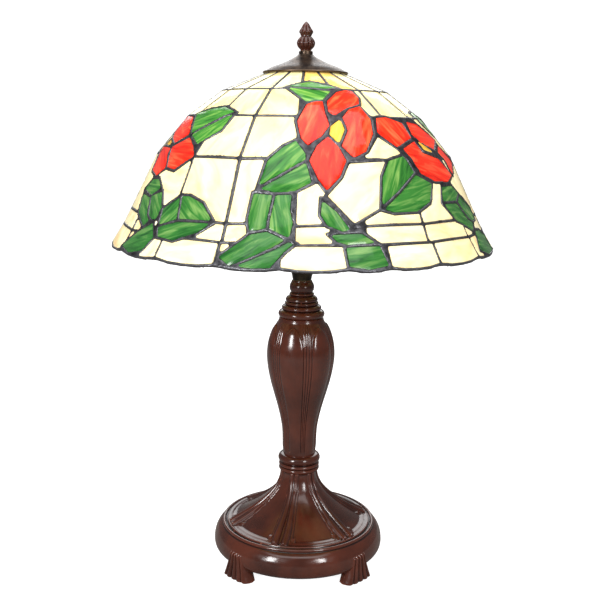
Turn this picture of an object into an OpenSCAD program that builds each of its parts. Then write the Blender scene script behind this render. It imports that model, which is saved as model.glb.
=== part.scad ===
// Table lamp: a leaded glass dome with large red flowers on a turned and cast stand.
// Origin at the middle of the foot circle on the table, +Z up, front towards -Y.
// Azimuths are measured from the front (-Y) towards +X.

/* [Shade] */
// Radius of the dome at its lower rim, to the middle of the glass
shade_r = 203; // [160:1:250]
// Height of the dome from its lower rim to its top opening
shade_h = 178; // [140:1:220]
// Radius of the dome's top opening
opening_r = 40; // [36:1:48]
// Thickness of the sheet glass
glass_t = 3; // [2:0.1:3.6]
// Width of the solder lines between two panes
came_w = 3.2; // [2.4:0.1:4]
// Thickness of the solder lines, proud of the glass on both sides
came_t = 4.6; // [4:0.1:6]
// Depth of the scallops along the rim
scallop = 2.6; // [0:0.1:4]

/* [Stand] */
// Largest radius of the round plinth
base_r = 96.5; // [85:0.5:120]
// Gap between the table and the underside of the plinth
base_gap = 13; // [10:0.5:18]
// Height of the plinth
plinth_h = 33; // [28:0.5:40]
// Height of the flared, panelled part of the base
flare_h = 58; // [48:0.5:70]
// Radius at the top of the flare
flare_r = 20; // [18:0.5:24]
// Height of the beaded collar
collar_h = 20; // [18:0.5:28]
// Radius of the collar's beads
collar_r = 23; // [21:0.5:26]
// Height of the vase
vase_h = 158; // [130:1:190]
// Radius of the vase at its belly
vase_r = 37.7; // [30:0.1:46]
// Radius at the bottom of the vase
vase_foot_r = 18.4; // [16:0.1:22]
// Height of the stacked beads above the vase
neck_h = 42; // [36:0.5:50]
// Radius of the widest bead above the vase
neck_r = 25.8; // [22:0.1:30]
// Height of the flared metal cup
cup_h = 20; // [18:0.5:26]
// Radius of the cup at its mouth
cup_r = 17; // [15:0.5:20]
// Wall of the cast and moulded shells
wall = 4.5; // [3:0.1:6]

/* [Rod and fittings] */
// Radius of the hollow threaded rod
rod_r = 5; // [4:0.1:6]
// Radius of the wire way in the rod
rod_bore_r = 3.5; // [2.5:0.1:4]
// Height of the lamp holder body on top of the cup
hub_h = 20; // [18:0.5:26]
// Distance of each bulb from the lamp's axis
bulb_reach = 42; // [38:0.5:50]
// Radius of the bulb's glass
bulb_r = 30; // [22:0.5:32]
// Radius of the bulb's screw cap
screw_r = 13.2; // [13:0.1:13.4]
// Radius of the stud that the finial screws on to
stud_r = 3.2; // [2.5:0.1:3.6]
// Radius of the hole that the mains lead comes out of
cord_hole_r = 3.5; // [3:0.1:5]

/* [Cap and finial] */
// Radius of the metal cap over the opening
cap_r = 45.4; // [43:0.1:52]
// Height of the metal cap
cap_h = 24; // [20:0.5:30]
// Height of the finial above the cap
finial_h = 30; // [24:0.5:38]
// Radius of the finial's fluted bulge
finial_r = 10; // [8:0.1:13]

/* [Fits] */
// Radial gap where one piece turns or slides on another
running = 0.05; // [0.02:0.01:0.09]
// Radial gap where a piece is slipped over the rod
slip = 0.2; // [0.1:0.05:0.4]
// Gap between neighbouring pieces that don't touch
clear = 0.3; // [0.2:0.05:0.5]

/* [Hidden] */
$fn = 72;

// Heights of the pieces, one standing on the other
z_plinth = base_gap;
z_flare = z_plinth + plinth_h;
z_collar = z_flare + flare_h;
z_vase = z_collar + collar_h;
z_neck = z_vase + vase_h;
z_cup = z_neck + neck_h;
z_hub = z_cup + cup_h;
z_hub_top = z_hub + hub_h;
// The rim hangs a little above the top of the holder body
z_rim = z_hub_top + 3;
z_opening = z_rim + shade_h;
// The cap's lower edge rests just clear of the solder around the opening
z_cap = z_opening + 0.9;
z_finial = z_cap + cap_h;

// ---------------------------------------------------------------- outlines

// Points of a smooth curve through the given ones, n steps between each two
function smooth(p, n) = [
  for (i = [0 : len(p) - 2], k = [0 : n - 1]) spline(p, i, k / n),
  p[len(p) - 1]
];
function spline(p, i, t) =
  let (a = p[max(i - 1, 0)], b = p[i], c = p[i + 1], d = p[min(i + 2, len(p) - 1)])
  b + t * (c - a) / 2 + t * t * (a - 2.5 * b + 2 * c - d / 2) + t * t * t * (1.5 * b - 1.5 * c + (d - a) / 2);
function reversed(p) = [for (i = [len(p) - 1 : -1 : 0]) p[i]];
// Points of an arc about c from angle a to angle b
function arc(c, r, a, b, n) = [for (i = [0 : n]) c + r * [cos(a + (b - a) * i / n), sin(a + (b - a) * i / n)]];
// A closed shape turned about the lamp's axis
module turned(points) { rotate_extrude() polygon(points); }
// A washer or tube
module tube(outer, inner, low, high) {
  turned([[inner, low], [outer, low], [outer, high], [inner, high]]);
}
module at(azimuth, r, z) { rotate([0, 0, azimuth]) translate([0, -r, z]) children(); }

// ---------------------------------------------------------------- stand

foot_azimuths = [-45, 45, -135, 135];
rib_azimuths = [for (k = [0 : 5]) -15 + 60 * k];
rib_half_gap = 4.2;
bead_w = 3;
bead_h = 1.6;
flare_foot_r = base_r - 18;
plinth_in = 8.5;
mouth_r = base_r - 12;
screw_pitch_r = base_r - 26;
plate_t = 1.5;

// Outer radius of the flare, u from 0 at its foot to 1 at its top
function flare_at(u, out) = [
  flare_r + (flare_foot_r - flare_r) * pow(1 - u, 1.9) + out, z_flare + flare_h * u + out * 0.4
];
function flare(out) = [for (i = [0 : 18]) flare_at(i / 18, out)];

// The plinth's side, from the underside up to the foot of the flare
function plinth_side() = concat(
  [[base_r - plinth_in, z_plinth]],
  smooth([
    [base_r - 4.5, z_plinth + 1.2], [base_r, z_plinth + 7.5], [base_r - 0.8, z_plinth + 16],
    [base_r - 4.2, z_flare - 8.4], [base_r - 8, z_flare - 5.2]
  ], 4),
  [[base_r - 9.5, z_flare - 5.2], [base_r - 9.5, z_flare - 4.1]],
  arc([base_r - 10.9, z_flare - 2.9], 1.9, -30, 90, 6),
  [[base_r - 13.4, z_flare - 1], [base_r - 13.8, z_flare - 2.1], [base_r - 15.5, z_flare - 1.9]]
);

module base_casting() {
  lining = [for (p = flare(0)) [p[0] - wall * 0.9, p[1] - wall * 0.8]];
  rib_low = z_flare - 1;
  color("#4a2018") {
    difference() {
      union() {
        turned(concat(
          plinth_side(), flare(0),
          [[rod_r + slip, z_collar], [rod_r + slip, z_collar - wall]],
          reversed(lining),
          [[base_r - 18 - wall, z_plinth + 22], [base_r - wall - 4, z_plinth + 19],
           [base_r - wall, z_plinth + 8], [mouth_r, z_plinth]]
        ));
        // Pairs of raised beads divide the flare into panels
        intersection() {
          turned(concat(flare(bead_h), reversed(flare(-1))));
          union() for (a = rib_azimuths, side = [-1, 1])
            rotate([0, 0, a]) translate([side * rib_half_gap - bead_w / 2, -base_r, rib_low])
              cube([bead_w, base_r - flare_r, flare_h]);
        }
      }
      at(180, base_r, z_plinth + 10) rotate([90, 0, 0]) {
        cylinder(r = cord_hole_r + 2.5, h = 30, center = true);
        translate([0, 0, -0.6]) cylinder(r = cord_hole_r + 4.05, h = 10);
      }
    }
  }
}

foot_top_w = 20;
foot_low_w = 36;
foot_top_z = 33;
foot_out = base_r + 4.5;
pad_t = 1.2;

// One splayed, fluted foot clasping the plinth
module foot(azimuth) {
  grooves = 5;
  color("#44201a") difference() {
    at(azimuth, 0, 0) hull() {
      translate([-foot_low_w / 2, -foot_out, pad_t]) cube([foot_low_w, 30, 3]);
      translate([-foot_top_w / 2, -base_r - 1.5, foot_top_z - 2]) cube([foot_top_w, 14, 2]);
    }
    turned(concat([[0, z_plinth]], plinth_side(), [[0, z_flare - 1.9]]));
    for (k = [1 : grooves]) {
      t = k / (grooves + 1) - 0.5;
      at(azimuth, 0, 0) translate([t * foot_low_w, -foot_out - 0.6, 0])
        rotate([-14, 18 * -2 * t * 0.75, 0]) cylinder(r = 1.6, h = 60, center = true, $fn = 24);
    }
  }
}
module foot_front_left() { foot(foot_azimuths[0]); }
module foot_front_right() { foot(foot_azimuths[1]); }
module foot_rear_left() { foot(foot_azimuths[2]); }
module foot_rear_right() { foot(foot_azimuths[3]); }

module felt_pads() {
  color("#2b2b2b") for (a = foot_azimuths) at(a, foot_out - 15, 0) cylinder(r = 11, h = pad_t);
}

module bottom_plate() {
  color("#3a3a3c") difference() {
    tube(mouth_r - clear, rod_r + slip, z_plinth, z_plinth + plate_t);
    for (k = [0 : 2]) at(60 + 120 * k, screw_pitch_r, z_plinth - 1) cylinder(r = 2 + slip, h = 5);
  }
}

module plate_screws() {
  color("silver") for (k = [0 : 2]) at(60 + 120 * k, screw_pitch_r, 0) {
    translate([0, 0, z_plinth - 2]) cylinder(r = 3.6, h = 2);
    translate([0, 0, z_plinth - 0.1]) cylinder(r = 2, h = 12);
  }
}

// Iron ring that keeps the lamp steady
module base_weight() {
  low = z_plinth + plate_t;
  color("#55565a") difference() {
    tube(base_r - 20, 16, low, low + 12);
    for (k = [0 : 2]) at(60 + 120 * k, screw_pitch_r, low - 1) cylinder(r = 2.05, h = 20);
    at(180, base_r - 22, low - 1) cylinder(r = 9, h = 20);
  }
}

// Plastic bush where the mains lead leaves the rear of the plinth
module cord_gland() {
  color("#1c1c1c") at(180, base_r, z_plinth + 10) rotate([90, 0, 0]) difference() {
    union() {
      translate([0, 0, -0.6]) cylinder(r = cord_hole_r + 4, h = 2.2);
      translate([0, 0, -8]) cylinder(r = cord_hole_r + 2.45, h = 8);
    }
    translate([0, 0, -10]) cylinder(r = cord_hole_r, h = 20);
  }
}

// Three beads, the upper one the largest
module collar_ring() {
  color("#4a2018") turned(concat(
    [[rod_r + slip, z_collar], [flare_r - 0.6, z_collar]],
    arc([collar_r - 2.5, z_collar + 2.7], 2.5, -80, 74, 6),
    arc([collar_r - 2.1, z_collar + 7.4], 2.2, -70, 66, 6),
    arc([collar_r - 4.4, z_vase - 5.4], 5, -62, 74, 10),
    [[vase_foot_r - 1, z_vase], [rod_r + slip, z_vase]]
  ));
}

// Height and radius along the vase, as shares of its height and of its swell
vase_shape = [
  [0, 0], [0.18, 0.08], [0.35, 0.36], [0.54, 0.74], [0.68, 0.97], [0.76, 1], [0.86, 0.9],
  [0.94, 0.62], [0.985, 0.34]
];
module vase_body() {
  swell = vase_r - vase_foot_r;
  outer = smooth([for (s = vase_shape) [vase_foot_r + swell * s[1], z_vase + vase_h * s[0]]], 4);
  inner = [for (p = outer) if (p[1] < z_neck - 14) [p[0] - wall, p[1]]];
  color("#4c1f17") turned(concat(
    outer, [[vase_foot_r + 3, z_neck], [rod_r + slip, z_neck], [rod_r + slip, z_neck - 12]],
    reversed(inner)
  ));
}

// Beads stacked on the vase, narrowing upwards
module neck_turning() {
  color("#4a2018") turned(concat(
    [[rod_r + slip, z_neck], [neck_r - 3, z_neck]],
    arc([neck_r - 4.2, z_neck + 4.6], 4.2, -70, 60, 8),
    arc([neck_r - 5.6, z_neck + 11], 2.6, -40, 80, 6),
    arc([neck_r - 9.4, z_neck + 17.6], 2.6, -75, 60, 6),
    arc([neck_r - 10.2, z_neck + 22.6], 2.6, -50, 80, 6),
    [[neck_r - 12.2, z_neck + 26], [neck_r - 13.9, z_neck + 28.9]],
    arc([neck_r - 16.8, z_cup - 7.4], 4.7, -50, 62, 8),
    [[neck_r - 14.6, z_cup], [rod_r + slip, z_cup]]
  ));
}

// Thin flared metal cup under the lamp holders
module top_cup() {
  low_r = 10.4;
  color("#241a14") turned(concat(
    [[rod_r + slip, z_cup], [low_r, z_cup]],
    smooth([[low_r, z_cup + 1], [low_r + 1, z_cup + 6], [low_r + 3.2, z_cup + 14], [cup_r, z_hub - 1.5]], 4),
    [[cup_r, z_hub], [cup_r - 1.5, z_hub]],
    smooth([[low_r + 1.7, z_cup + 14], [low_r - 0.5, z_cup + 6], [low_r - 1.6, z_cup + 3]], 4),
    [[rod_r + slip, z_cup + 3]]
  ));
}

// ---------------------------------------------------------------- rod and lamp holders

nut_h = 5;
washer_t = 1.2;
z_rod = z_plinth - washer_t - nut_h - 1;
z_rod_top = z_hub + hub_h / 2;

module threaded_rod() { color("goldenrod") tube(rod_r, rod_bore_r, z_rod, z_rod_top); }
module rod_washer() { color("silver") tube(14, rod_r + slip, z_plinth - washer_t, z_plinth); }
module rod_nut() {
  color("silver") difference() {
    translate([0, 0, z_plinth - washer_t - nut_h]) cylinder(r = 9.2, h = nut_h, $fn = 6);
    translate([0, 0, z_rod - 1]) cylinder(r = rod_r + 0.01, h = 12);
  }
}

hub_r = 15.5;
arm_r = 4.5;
arm_z = z_hub + 11;
z_socket = arm_z + 9;
socket_r = screw_r + 5.8;
sides = [-1, 1];

// Round brass body that carries the two arms and the riser
module cluster_hub() {
  color("#3a2c1e") difference() {
    turned(concat(
      [[0, z_hub], [hub_r - 1.5, z_hub]],
      smooth([
        [hub_r - 1, z_hub + 0.5], [hub_r, z_hub + hub_h / 2], [hub_r - 2.5, z_hub_top - 2],
        [rod_r + 3, z_hub_top]
      ], 4),
      [[0, z_hub_top]]
    ));
    translate([0, 0, z_hub - 1]) cylinder(r = rod_r + 0.01, h = hub_h + 2);
    translate([0, 0, arm_z]) rotate([0, 90, 0]) cylinder(r = arm_r + 0.01, h = 4 * hub_r, center = true);
  }
}

// Elbow tube from the hub out to a lamp holder
module cluster_arm(side) {
  bore = arm_r - 1.2;
  color("#6b5430") difference() {
    union() {
      translate([side * (rod_r + 2.5), 0, arm_z]) rotate([0, side * 90, 0])
        cylinder(r = arm_r, h = bulb_reach - rod_r - 2.5);
      translate([side * bulb_reach, 0, arm_z]) sphere(r = arm_r);
      translate([side * bulb_reach, 0, arm_z]) cylinder(r = arm_r, h = z_socket + 4 - arm_z);
    }
    translate([side * rod_r, 0, arm_z]) rotate([0, side * 90, 0]) cylinder(r = bore, h = bulb_reach - rod_r);
    translate([side * bulb_reach, 0, arm_z]) sphere(r = bore);
    translate([side * bulb_reach, 0, arm_z]) cylinder(r = bore, h = 20);
  }
}
module cluster_arm_left() { cluster_arm(sides[0]); }
module cluster_arm_right() { cluster_arm(sides[1]); }

socket_cap_h = 14;
z_shell = z_socket + socket_cap_h;
shell_h = 38;
screw_h = 25;
// The bulb's contact rests on the insert's spring inside the holder
z_contact = z_shell + 4;
z_screw = z_contact + 3;
// The bulb's neck is cemented into its cap this deep
seated = 2;
bulb_neck_r = 11;
z_bulb = z_screw + screw_h - seated;

module socket_cap(side) {
  color("#b08d3c") translate([side * bulb_reach, 0, 0]) turned(concat(
    [[arm_r + 0.01, z_socket], [arm_r + 3, z_socket]],
    smooth([[arm_r + 4, z_socket + 1], [socket_r - 4, z_socket + 4.5], [socket_r, z_shell - 3]], 4),
    [[socket_r, z_shell], [socket_r - 1, z_shell], [socket_r - 1, z_shell - 3],
     [socket_r - 5, z_socket + 6], [arm_r + 0.01, z_socket + 3]]
  ));
}
module socket_cap_left() { socket_cap(sides[0]); }
module socket_cap_right() { socket_cap(sides[1]); }

module socket_shell(side) {
  color("#1f1d1c") translate([side * bulb_reach, 0, 0]) difference() {
    union() {
      tube(socket_r, socket_r - 3, z_shell, z_shell + shell_h);
      tube(socket_r + 1.8, socket_r - 1, z_shell + 12, z_shell + 15);
    }
    for (k = [0 : 11]) at(30 * k, socket_r + 0.6, z_shell + 17) cylinder(r = 1, h = shell_h);
  }
}
module socket_shell_left() { socket_shell(sides[0]); }
module socket_shell_right() { socket_shell(sides[1]); }

// Porcelain cup lined with the threaded sleeve that the bulb screws into
module socket_insert(side) {
  bore = screw_r + running;
  color("#e8e4d8") translate([side * bulb_reach, 0, 0]) difference() {
    translate([0, 0, z_shell]) cylinder(r = socket_r - 3.01, h = z_screw + screw_h - 3 - z_shell);
    translate([0, 0, z_contact]) cylinder(r = bore, h = 60);
  }
}
module socket_insert_left() { socket_insert(sides[0]); }
module socket_insert_right() { socket_insert(sides[1]); }

module bulb_contact(side) {
  color("#9a9a9a") translate([side * bulb_reach, 0, z_contact]) cylinder(r1 = 3.5, r2 = 5, h = 2.99);
}
module bulb_contact_left() { bulb_contact(sides[0]); }
module bulb_contact_right() { bulb_contact(sides[1]); }

module bulb_cap(side) {
  color("silver") translate([side * bulb_reach, 0, 0]) difference() {
    turned([
      [0, z_screw], [6, z_screw], [screw_r, z_screw + 5], [screw_r, z_screw + screw_h],
      [0, z_screw + screw_h]
    ]);
    translate([0, 0, z_bulb]) cylinder(r = bulb_neck_r, h = 2 * seated);
  }
}
module bulb_cap_left() { bulb_cap(sides[0]); }
module bulb_cap_right() { bulb_cap(sides[1]); }

// Frosted envelope, a round crown on a tapering neck
module bulb_glass(side) {
  envelope_h = 78;
  crown = z_bulb + envelope_h - bulb_r;
  neck = smooth([
    [bulb_neck_r, z_bulb + seated], [bulb_neck_r + 1.6, z_bulb + seated + 3], [bulb_neck_r + 4.5, z_bulb + 14],
    [bulb_r * 0.8, z_bulb + 30], [bulb_r, crown]
  ], 4);
  color("#f4f1e6") translate([side * bulb_reach, 0, 0]) turned(concat(
    [[0, z_bulb], [bulb_neck_r, z_bulb]], [for (p = neck) if (p[1] < crown) p],
    arc([0, crown], bulb_r, 0, 90, 12)
  ));
}
module bulb_glass_left() { bulb_glass(sides[0]); }
module bulb_glass_right() { bulb_glass(sides[1]); }

seat_h = 6;
z_spider = z_opening - 5;
spider_t = 2.5;
stud_top = z_finial + finial_h - 11;

module riser_tube() { color("goldenrod") tube(rod_r, rod_bore_r, z_rod_top, z_spider - seat_h); }
module shade_seat() {
  color("#8f7434") tube(rod_r + 5, stud_r + 0.01, z_spider - seat_h, z_spider);
}
module finial_stud() {
  color("#b9a05a") translate([0, 0, z_spider - seat_h]) cylinder(r = stud_r, h = stud_top - z_spider + seat_h);
}

// ---------------------------------------------------------------- shade

// Dome meridian as [radius, height]: the opening, the course lines and the rim
dome = [
  [opening_r, z_opening], [shade_r * 0.425, z_rim + shade_h * 0.893],
  [shade_r * 0.603, z_rim + shade_h * 0.744], [shade_r * 0.762, z_rim + shade_h * 0.525],
  [shade_r * 0.9, z_rim + shade_h * 0.2], [shade_r * 0.942, z_rim + shade_h * 0.107],
  [shade_r, z_rim]
];
rows = len(dome) - 1;
tiles_round = 18;
tile_a = 360 / tiles_round;
first_meridian = -2.5;
open_meridian = first_meridian + 5 * tile_a;

// A place on the dome is [azimuth, course], the course counted from 0 at the opening
function meridian(v) = let (i = min(floor(v), rows - 1)) dome[i] + (v - i) * (dome[i + 1] - dome[i]);
function on_dome(p) = let (q = meridian(p[1])) [q[0] * sin(p[0]), -q[0] * cos(p[0]), q[1]];

// Meridian moved out along its normals, from course low to course high
function unit(v) = v / norm(v);
function band_normal(i) = let (d = unit(dome[i + 1] - dome[i])) [-d[1], d[0]];
function corner_out(i, out) =
  let (a = band_normal(max(i - 1, 0)), b = band_normal(min(i, rows - 1)))
  dome[i] + out * (a + b) / (1 + a * b);
function skin(out, first, over) = concat(
  [for (i = [first : rows - 1]) corner_out(i, out)],
  [dome[rows] + over * unit(dome[rows] - dome[rows - 1]) + out * band_normal(rows - 1)]
);
// Turned from a meridian that no pane crosses
module dome_shell(t, first, over) {
  rotate([0, 0, open_meridian - 90])
    turned(concat(skin(t / 2, first, over), reversed(skin(-t / 2, first, over))));
}

// Each pane is laid out flat on the plane that touches the dome at its middle
function middle(p) = [for (k = [0, 1]) (min([for (q = p) q[k]]) + max([for (q = p) q[k]])) / 2];
function tilt(p) =
  let (d = meridian(max([for (q = p) q[1]])) - meridian(min([for (q = p) q[1]]))) atan2(-d[1], d[0]);
function flat(p, c, b) = [
  for (q = p) let (d = on_dome(q) - on_dome(c), a = c[0])
    [d[0] * cos(a) + d[1] * sin(a), (d[1] * cos(a) - d[0] * sin(a)) * cos(b) + d[2] * sin(b)]
];
function apart(a, b) = abs((a - b + 540) % 360 - 180);
function close_by(p, q) = let (a = middle(p), b = middle(q)) apart(a[0], b[0]) < 38 && abs(a[1] - b[1]) < 2.3;

// Prism of one pane, less the pieces that lie over it, inside its solder line. Spots narrower than
// two slivers are filled with solder, and the corners are blunt. The solder's line is rounded on
// the way in, since a mitred one runs wild at a sharp notch
sliver = 1;
notch_facets = 10;
module pane(p, over) {
  c = middle(p);
  b = tilt(p);
  translate(on_dome(c)) rotate([b, 0, c[0]]) translate([0, 0, -8.5]) linear_extrude(14.5)
    offset(delta = sliver, chamfer = true) offset(r = -sliver - came_w / 2, $fn = notch_facets) difference() {
      polygon(flat(p, c, b));
      for (q = over) if (close_by(p, q)) polygon(flat(q, c, b));
    }
}

// Is there a spot in the pane that is clear of its edges and of the pieces over it?
function to_side(p, a, b) = let (d = b - a, t = max(0, min(1, (p - a) * d / (d * d)))) norm(p - a - t * d);
function to_edge(p, poly) = min([for (i = [0 : len(poly) - 1]) to_side(p, poly[i], poly[(i + 1) % len(poly)])]);
function within(p, poly) = len([
  for (i = [0 : len(poly) - 1])
    let (a = poly[i], b = poly[(i + 1) % len(poly)])
    if ((a[1] > p[1]) != (b[1] > p[1]) && p[0] < a[0] + (p[1] - a[1]) * (b[0] - a[0]) / (b[1] - a[1])) 1
]) % 2 == 1;
function roomy(p, over) =
  let (
    c = middle(p), b = tilt(p), shape = flat(p, c, b), need = sliver + came_w / 2 + 0.05, n = 12,
    lids = [for (q = over) if (close_by(p, q)) flat(q, c, b)],
    low = [for (k = [0, 1]) min([for (q = shape) q[k]])], high = [for (k = [0, 1]) max([for (q = shape) q[k]])]
  )
  len([
    for (i = [1 : n - 1], j = [1 : n - 1])
      let (s = [low[0] + (high[0] - low[0]) * i / n, low[1] + (high[1] - low[1]) * j / n])
      if (within(s, shape) && to_edge(s, shape) > need
          && len([for (q = lids) if (within(s, q) || to_edge(s, q) < need) 1]) == 0) 1
  ]) > 0;

// The background tiles: 18 round the dome in every course but the last
rim_cuts = [-82.5, -62.5, -43, -23, -6, 12, 23, 39, 58, 77.5, 97.5];
rim_course = norm(dome[rows] - dome[rows - 1]);
rim_drop = scallop / rim_course;
function tile(a, b, v, w) = [[a, v], [b, v], [b, w], [a, w]];
tiles = [
  for (v = [0 : rows - 2], k = [0 : tiles_round - 1])
    let (a = first_meridian + tile_a * k) tile(a, a + tile_a, v, v + 1)
];
// The last course has its own cuts and scalloped lower edges
function scallops(a, b, v) =
  let (m = (a + b) / 2, q = (b - a) / 4)
  [[b, v], [m + q, v + rim_drop * 0.75], [m, v + rim_drop], [m - q, v + rim_drop * 0.75], [a, v]];
function rim_tile(a, b) = concat([[a, rows - 1], [b, rows - 1]], scallops(a, b, rows));
// What is cut away below the rim's solder, a little wider than its tile
function under_rim(a, b) =
  let (e = 0.35, low = rows + 12 / rim_course)
  concat([[a - e, low], [b + e, low]], scallops(a - e, b + e, rows + came_w * 0.3 / rim_course));
rim_tiles = [for (turn = [0, 180], i = [0 : len(rim_cuts) - 2]) [rim_cuts[i] + turn, rim_cuts[i + 1] + turn]];

// Pieces of the picture in half the dome, as [azimuth, course]; the other half repeats them
left_flower = [
  [[-79, 2], [-65, 2], [-54, 2.5], [-63, 2.74], [-73, 2.6], [-79, 2.45]],
  [[-63, 2.8], [-53, 2.52], [-46, 2.75], [-42, 3], [-51, 3.25], [-57, 3.22]],
  [[-76, 2.8], [-63, 2.8], [-57, 3.22], [-63, 3.38], [-72, 3.3]]
];
main_flower = [
  [[-4, 2.1], [0, 1.55], [4, 1.45], [10, 1.42], [10, 1.85], [11, 2.2], [7, 2.47], [1, 2.72], [-2, 2.52]],
  [[11, 1.42], [19, 1.06], [27, 0.97], [32, 1.02], [33, 1.3], [30, 1.55], [21, 1.7], [13, 2], [10, 1.82]],
  [[21, 1.7], [29, 1.58], [31, 2.03], [29, 2.4], [23, 2.82], [17, 2.98], [13, 2.68], [17, 2.3], [16, 1.98]],
  [[9, 2.42], [13, 2.68], [15, 3], [12, 3.27], [7, 3.5], [4, 3.3], [1, 3], [4, 2.65]]
];
right_flower = [
  [[33, 1.97], [40, 1.93], [49, 2.1], [49, 2.5], [37, 2.73], [30, 2.37]],
  [[52, 2.05], [62, 2.1], [72, 2.55], [61, 2.8], [53, 2.6], [50, 2.4]],
  [[39, 2.72], [49, 2.52], [51, 2.8], [60, 2.96], [65, 3.3], [59, 3.4], [50, 3.37], [43, 3.23]],
  [[62, 2.82], [70, 2.64], [77, 3.08], [67, 3.3]]
];
centres = [
  [[-73, 2.6], [-63, 2.74], [-63, 2.8], [-76, 2.8]],
  [[10, 2.2], [16, 1.98], [17, 2.3], [13, 2.68], [9, 2.42]],
  [[50, 2.45], [56, 2.66], [61, 2.92], [52, 2.8]]
];
top_leaf = [
  [[-14, 0.9], [-4, 0.66], [3, 0.55], [13, 0.68], [24, 0.93], [12, 1.02], [-1, 0.95]],
  [[-14, 0.93], [-1, 0.95], [12, 1.02], [18, 1.05], [10, 1.42], [0, 1.5]]
];
left_leaves = [
  [[-65, 1.95], [-56, 1.73], [-45, 1.64], [-33, 1.88], [-44, 2.16], [-54, 2.5]],
  [[-54, 2.5], [-44, 2.16], [-33, 1.88], [-36, 2.37], [-45, 2.74]],
  [[-70, 3.62], [-65, 3.4], [-59, 3.38], [-54, 3.55], [-60, 3.7]],
  [[-69, 3.66], [-60, 3.7], [-56, 4], [-53, 4.25], [-56, 4.72], [-65, 4]],
  [[-60, 3.68], [-53, 3.57], [-49, 3.85], [-50, 4.2], [-53, 4.25], [-56, 4]],
  [[-64, 5.85], [-58, 4.95], [-51, 4.25], [-47, 5.1], [-50, 5.85], [-57, 6.08]],
  [[-48, 4.5], [-49, 3.85], [-42, 3.61], [-40, 4.03]],
  [[-42, 3.61], [-38, 3.6], [-32, 3.7], [-26, 4], [-40, 4.03]],
  [[-48, 4.5], [-40, 4.03], [-26, 4], [-31, 4.65], [-39, 5.16], [-46, 5.1]]
];
middle_leaves = [
  [[-15, 3.47], [-13, 3], [-8, 2.68], [-3, 2.53], [1, 2.85], [1, 3], [-7, 3.22]],
  [[-15, 3.47], [-7, 3.22], [1, 3], [3, 3.35], [-3, 3.5], [-9, 3.52]],
  [[-16, 3.5], [-9, 3.52], [-10, 3.9], [-10, 4.2], [-15.5, 4.42], [-16.5, 3.9]],
  [[-9, 3.52], [-3, 3.5], [-3.5, 3.75], [-2.5, 3.95], [-3.5, 4.72], [-10, 4.2], [-10, 3.9]],
  [[-23, 5.65], [-17, 4.75], [-15, 4.42], [-10, 4.22], [-4, 4.72], [-8, 5.15], [-14, 5.65], [-19, 6.05]],
  [[-19, 6.05], [-14, 5.65], [-8, 5.15], [-4, 4.74], [-1.5, 4.86], [-4.5, 5.3], [-8, 6.05], [-13, 6.1]],
  [[5, 3.56], [10, 3.76], [14, 4.22], [11, 4.32], [6.5, 4], [4.5, 3.83]],
  [[6.5, 4.36], [16.5, 4.28], [21.5, 4.95], [12, 5], [9, 4.85]],
  [[11, 5], [21.5, 4.96], [23, 5.95], [17, 6.1], [11.5, 5.95]]
];
right_leaves = [
  [[23.5, 3.75], [26, 3.25], [30, 2.98], [38, 2.87], [41, 3.2], [32, 3.48]],
  [[23.5, 3.76], [32, 3.48], [41, 3.2], [48, 3.38], [44, 3.68], [37, 3.82], [28, 3.82]],
  [[49.5, 3.7], [53, 3.42], [61, 3.42], [65, 3.58], [60, 3.71]],
  [[49.5, 3.7], [60, 3.71], [64, 4.02], [68, 4.3], [64, 4.82], [54, 4.02]],
  [[60, 3.71], [65, 3.58], [73, 3.85], [73, 4.22], [68, 4.3], [64, 4.02]],
  [[66, 4.7], [72, 4.78], [77, 5.2], [77.5, 6.05], [68, 6.12], [61, 5.75]],
  [[66, 1.8], [74, 1.72], [84, 2], [87, 2.45], [76, 2.45], [69, 2.12]]
];
cream_pieces = [
  [[15, 3.02], [30, 3], [26, 3.25], [23.5, 3.75], [14.5, 3.98], [6.5, 3.54], [12, 3.27]],
  [[23, 2.82], [30, 2.42], [37, 2.75], [38, 2.87], [30, 2.98], [18, 2.98]]
];

function turned_over(pieces) = [for (turn = [0, 180], p = pieces) [for (q = p) [q[0] + turn, q[1]]]];
reds = turned_over(concat(left_flower, main_flower, right_flower));
yellows = turned_over(centres);
greens = turned_over(concat(top_leaf, left_leaves, middle_leaves, right_leaves));
creams = turned_over(cream_pieces);
coloured = concat(reds, yellows, greens);
picture = concat(coloured, creams);

module panes(list, over = []) { for (p = list) if (roomy(p, over)) pane(p, over); }
module glass(list, over = []) {
  for (p = list) if (roomy(p, over)) intersection() {
    dome_shell(glass_t, 0, scallop + 2);
    pane(p, over);
  }
}
rim_outlines = [for (r = rim_tiles) rim_tile(r[0], r[1])];

module cream_glass() {
  color("#fff6dc") {
    glass(concat(tiles, rim_outlines), picture);
    glass(creams, coloured);
  }
}
module green_glass() { color("#4f9a3f") glass(greens); }
module red_glass() { color("#f4512f") glass(reds); }
module yellow_glass() { color("#e8cf62") glass(yellows); }

// Copper foil and solder: half of a thick shell with a window for every pane
function in_half(list, turn) = [for (p = list) if (apart(middle(p)[0], open_meridian - 90 + turn) < 90) p];
module half_shell(turn, first, over) {
  rotate([0, 0, open_meridian + 90 + turn]) rotate_extrude(angle = 180)
    polygon(concat(skin(came_t / 2, first, over), reversed(skin(-came_t / 2, first, over))));
}
module solder(turn) {
  color("#4d4d50") difference() {
    half_shell(turn, 0, scallop + 4);
    for (p = in_half([for (r = rim_tiles) under_rim(r[0], r[1])], turn))
      let (c = middle(p), b = tilt(p))
        translate(on_dome(c)) rotate([b, 0, c[0]]) translate([0, 0, -12]) linear_extrude(20)
          polygon(flat(p, c, b));
    panes(in_half(concat(tiles, rim_outlines), turn), picture);
    panes(in_half(creams, turn), coloured);
    panes(in_half(coloured, turn));
  }
}
module solder_front() { solder(0); }
module solder_rear() { solder(180); }

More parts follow.
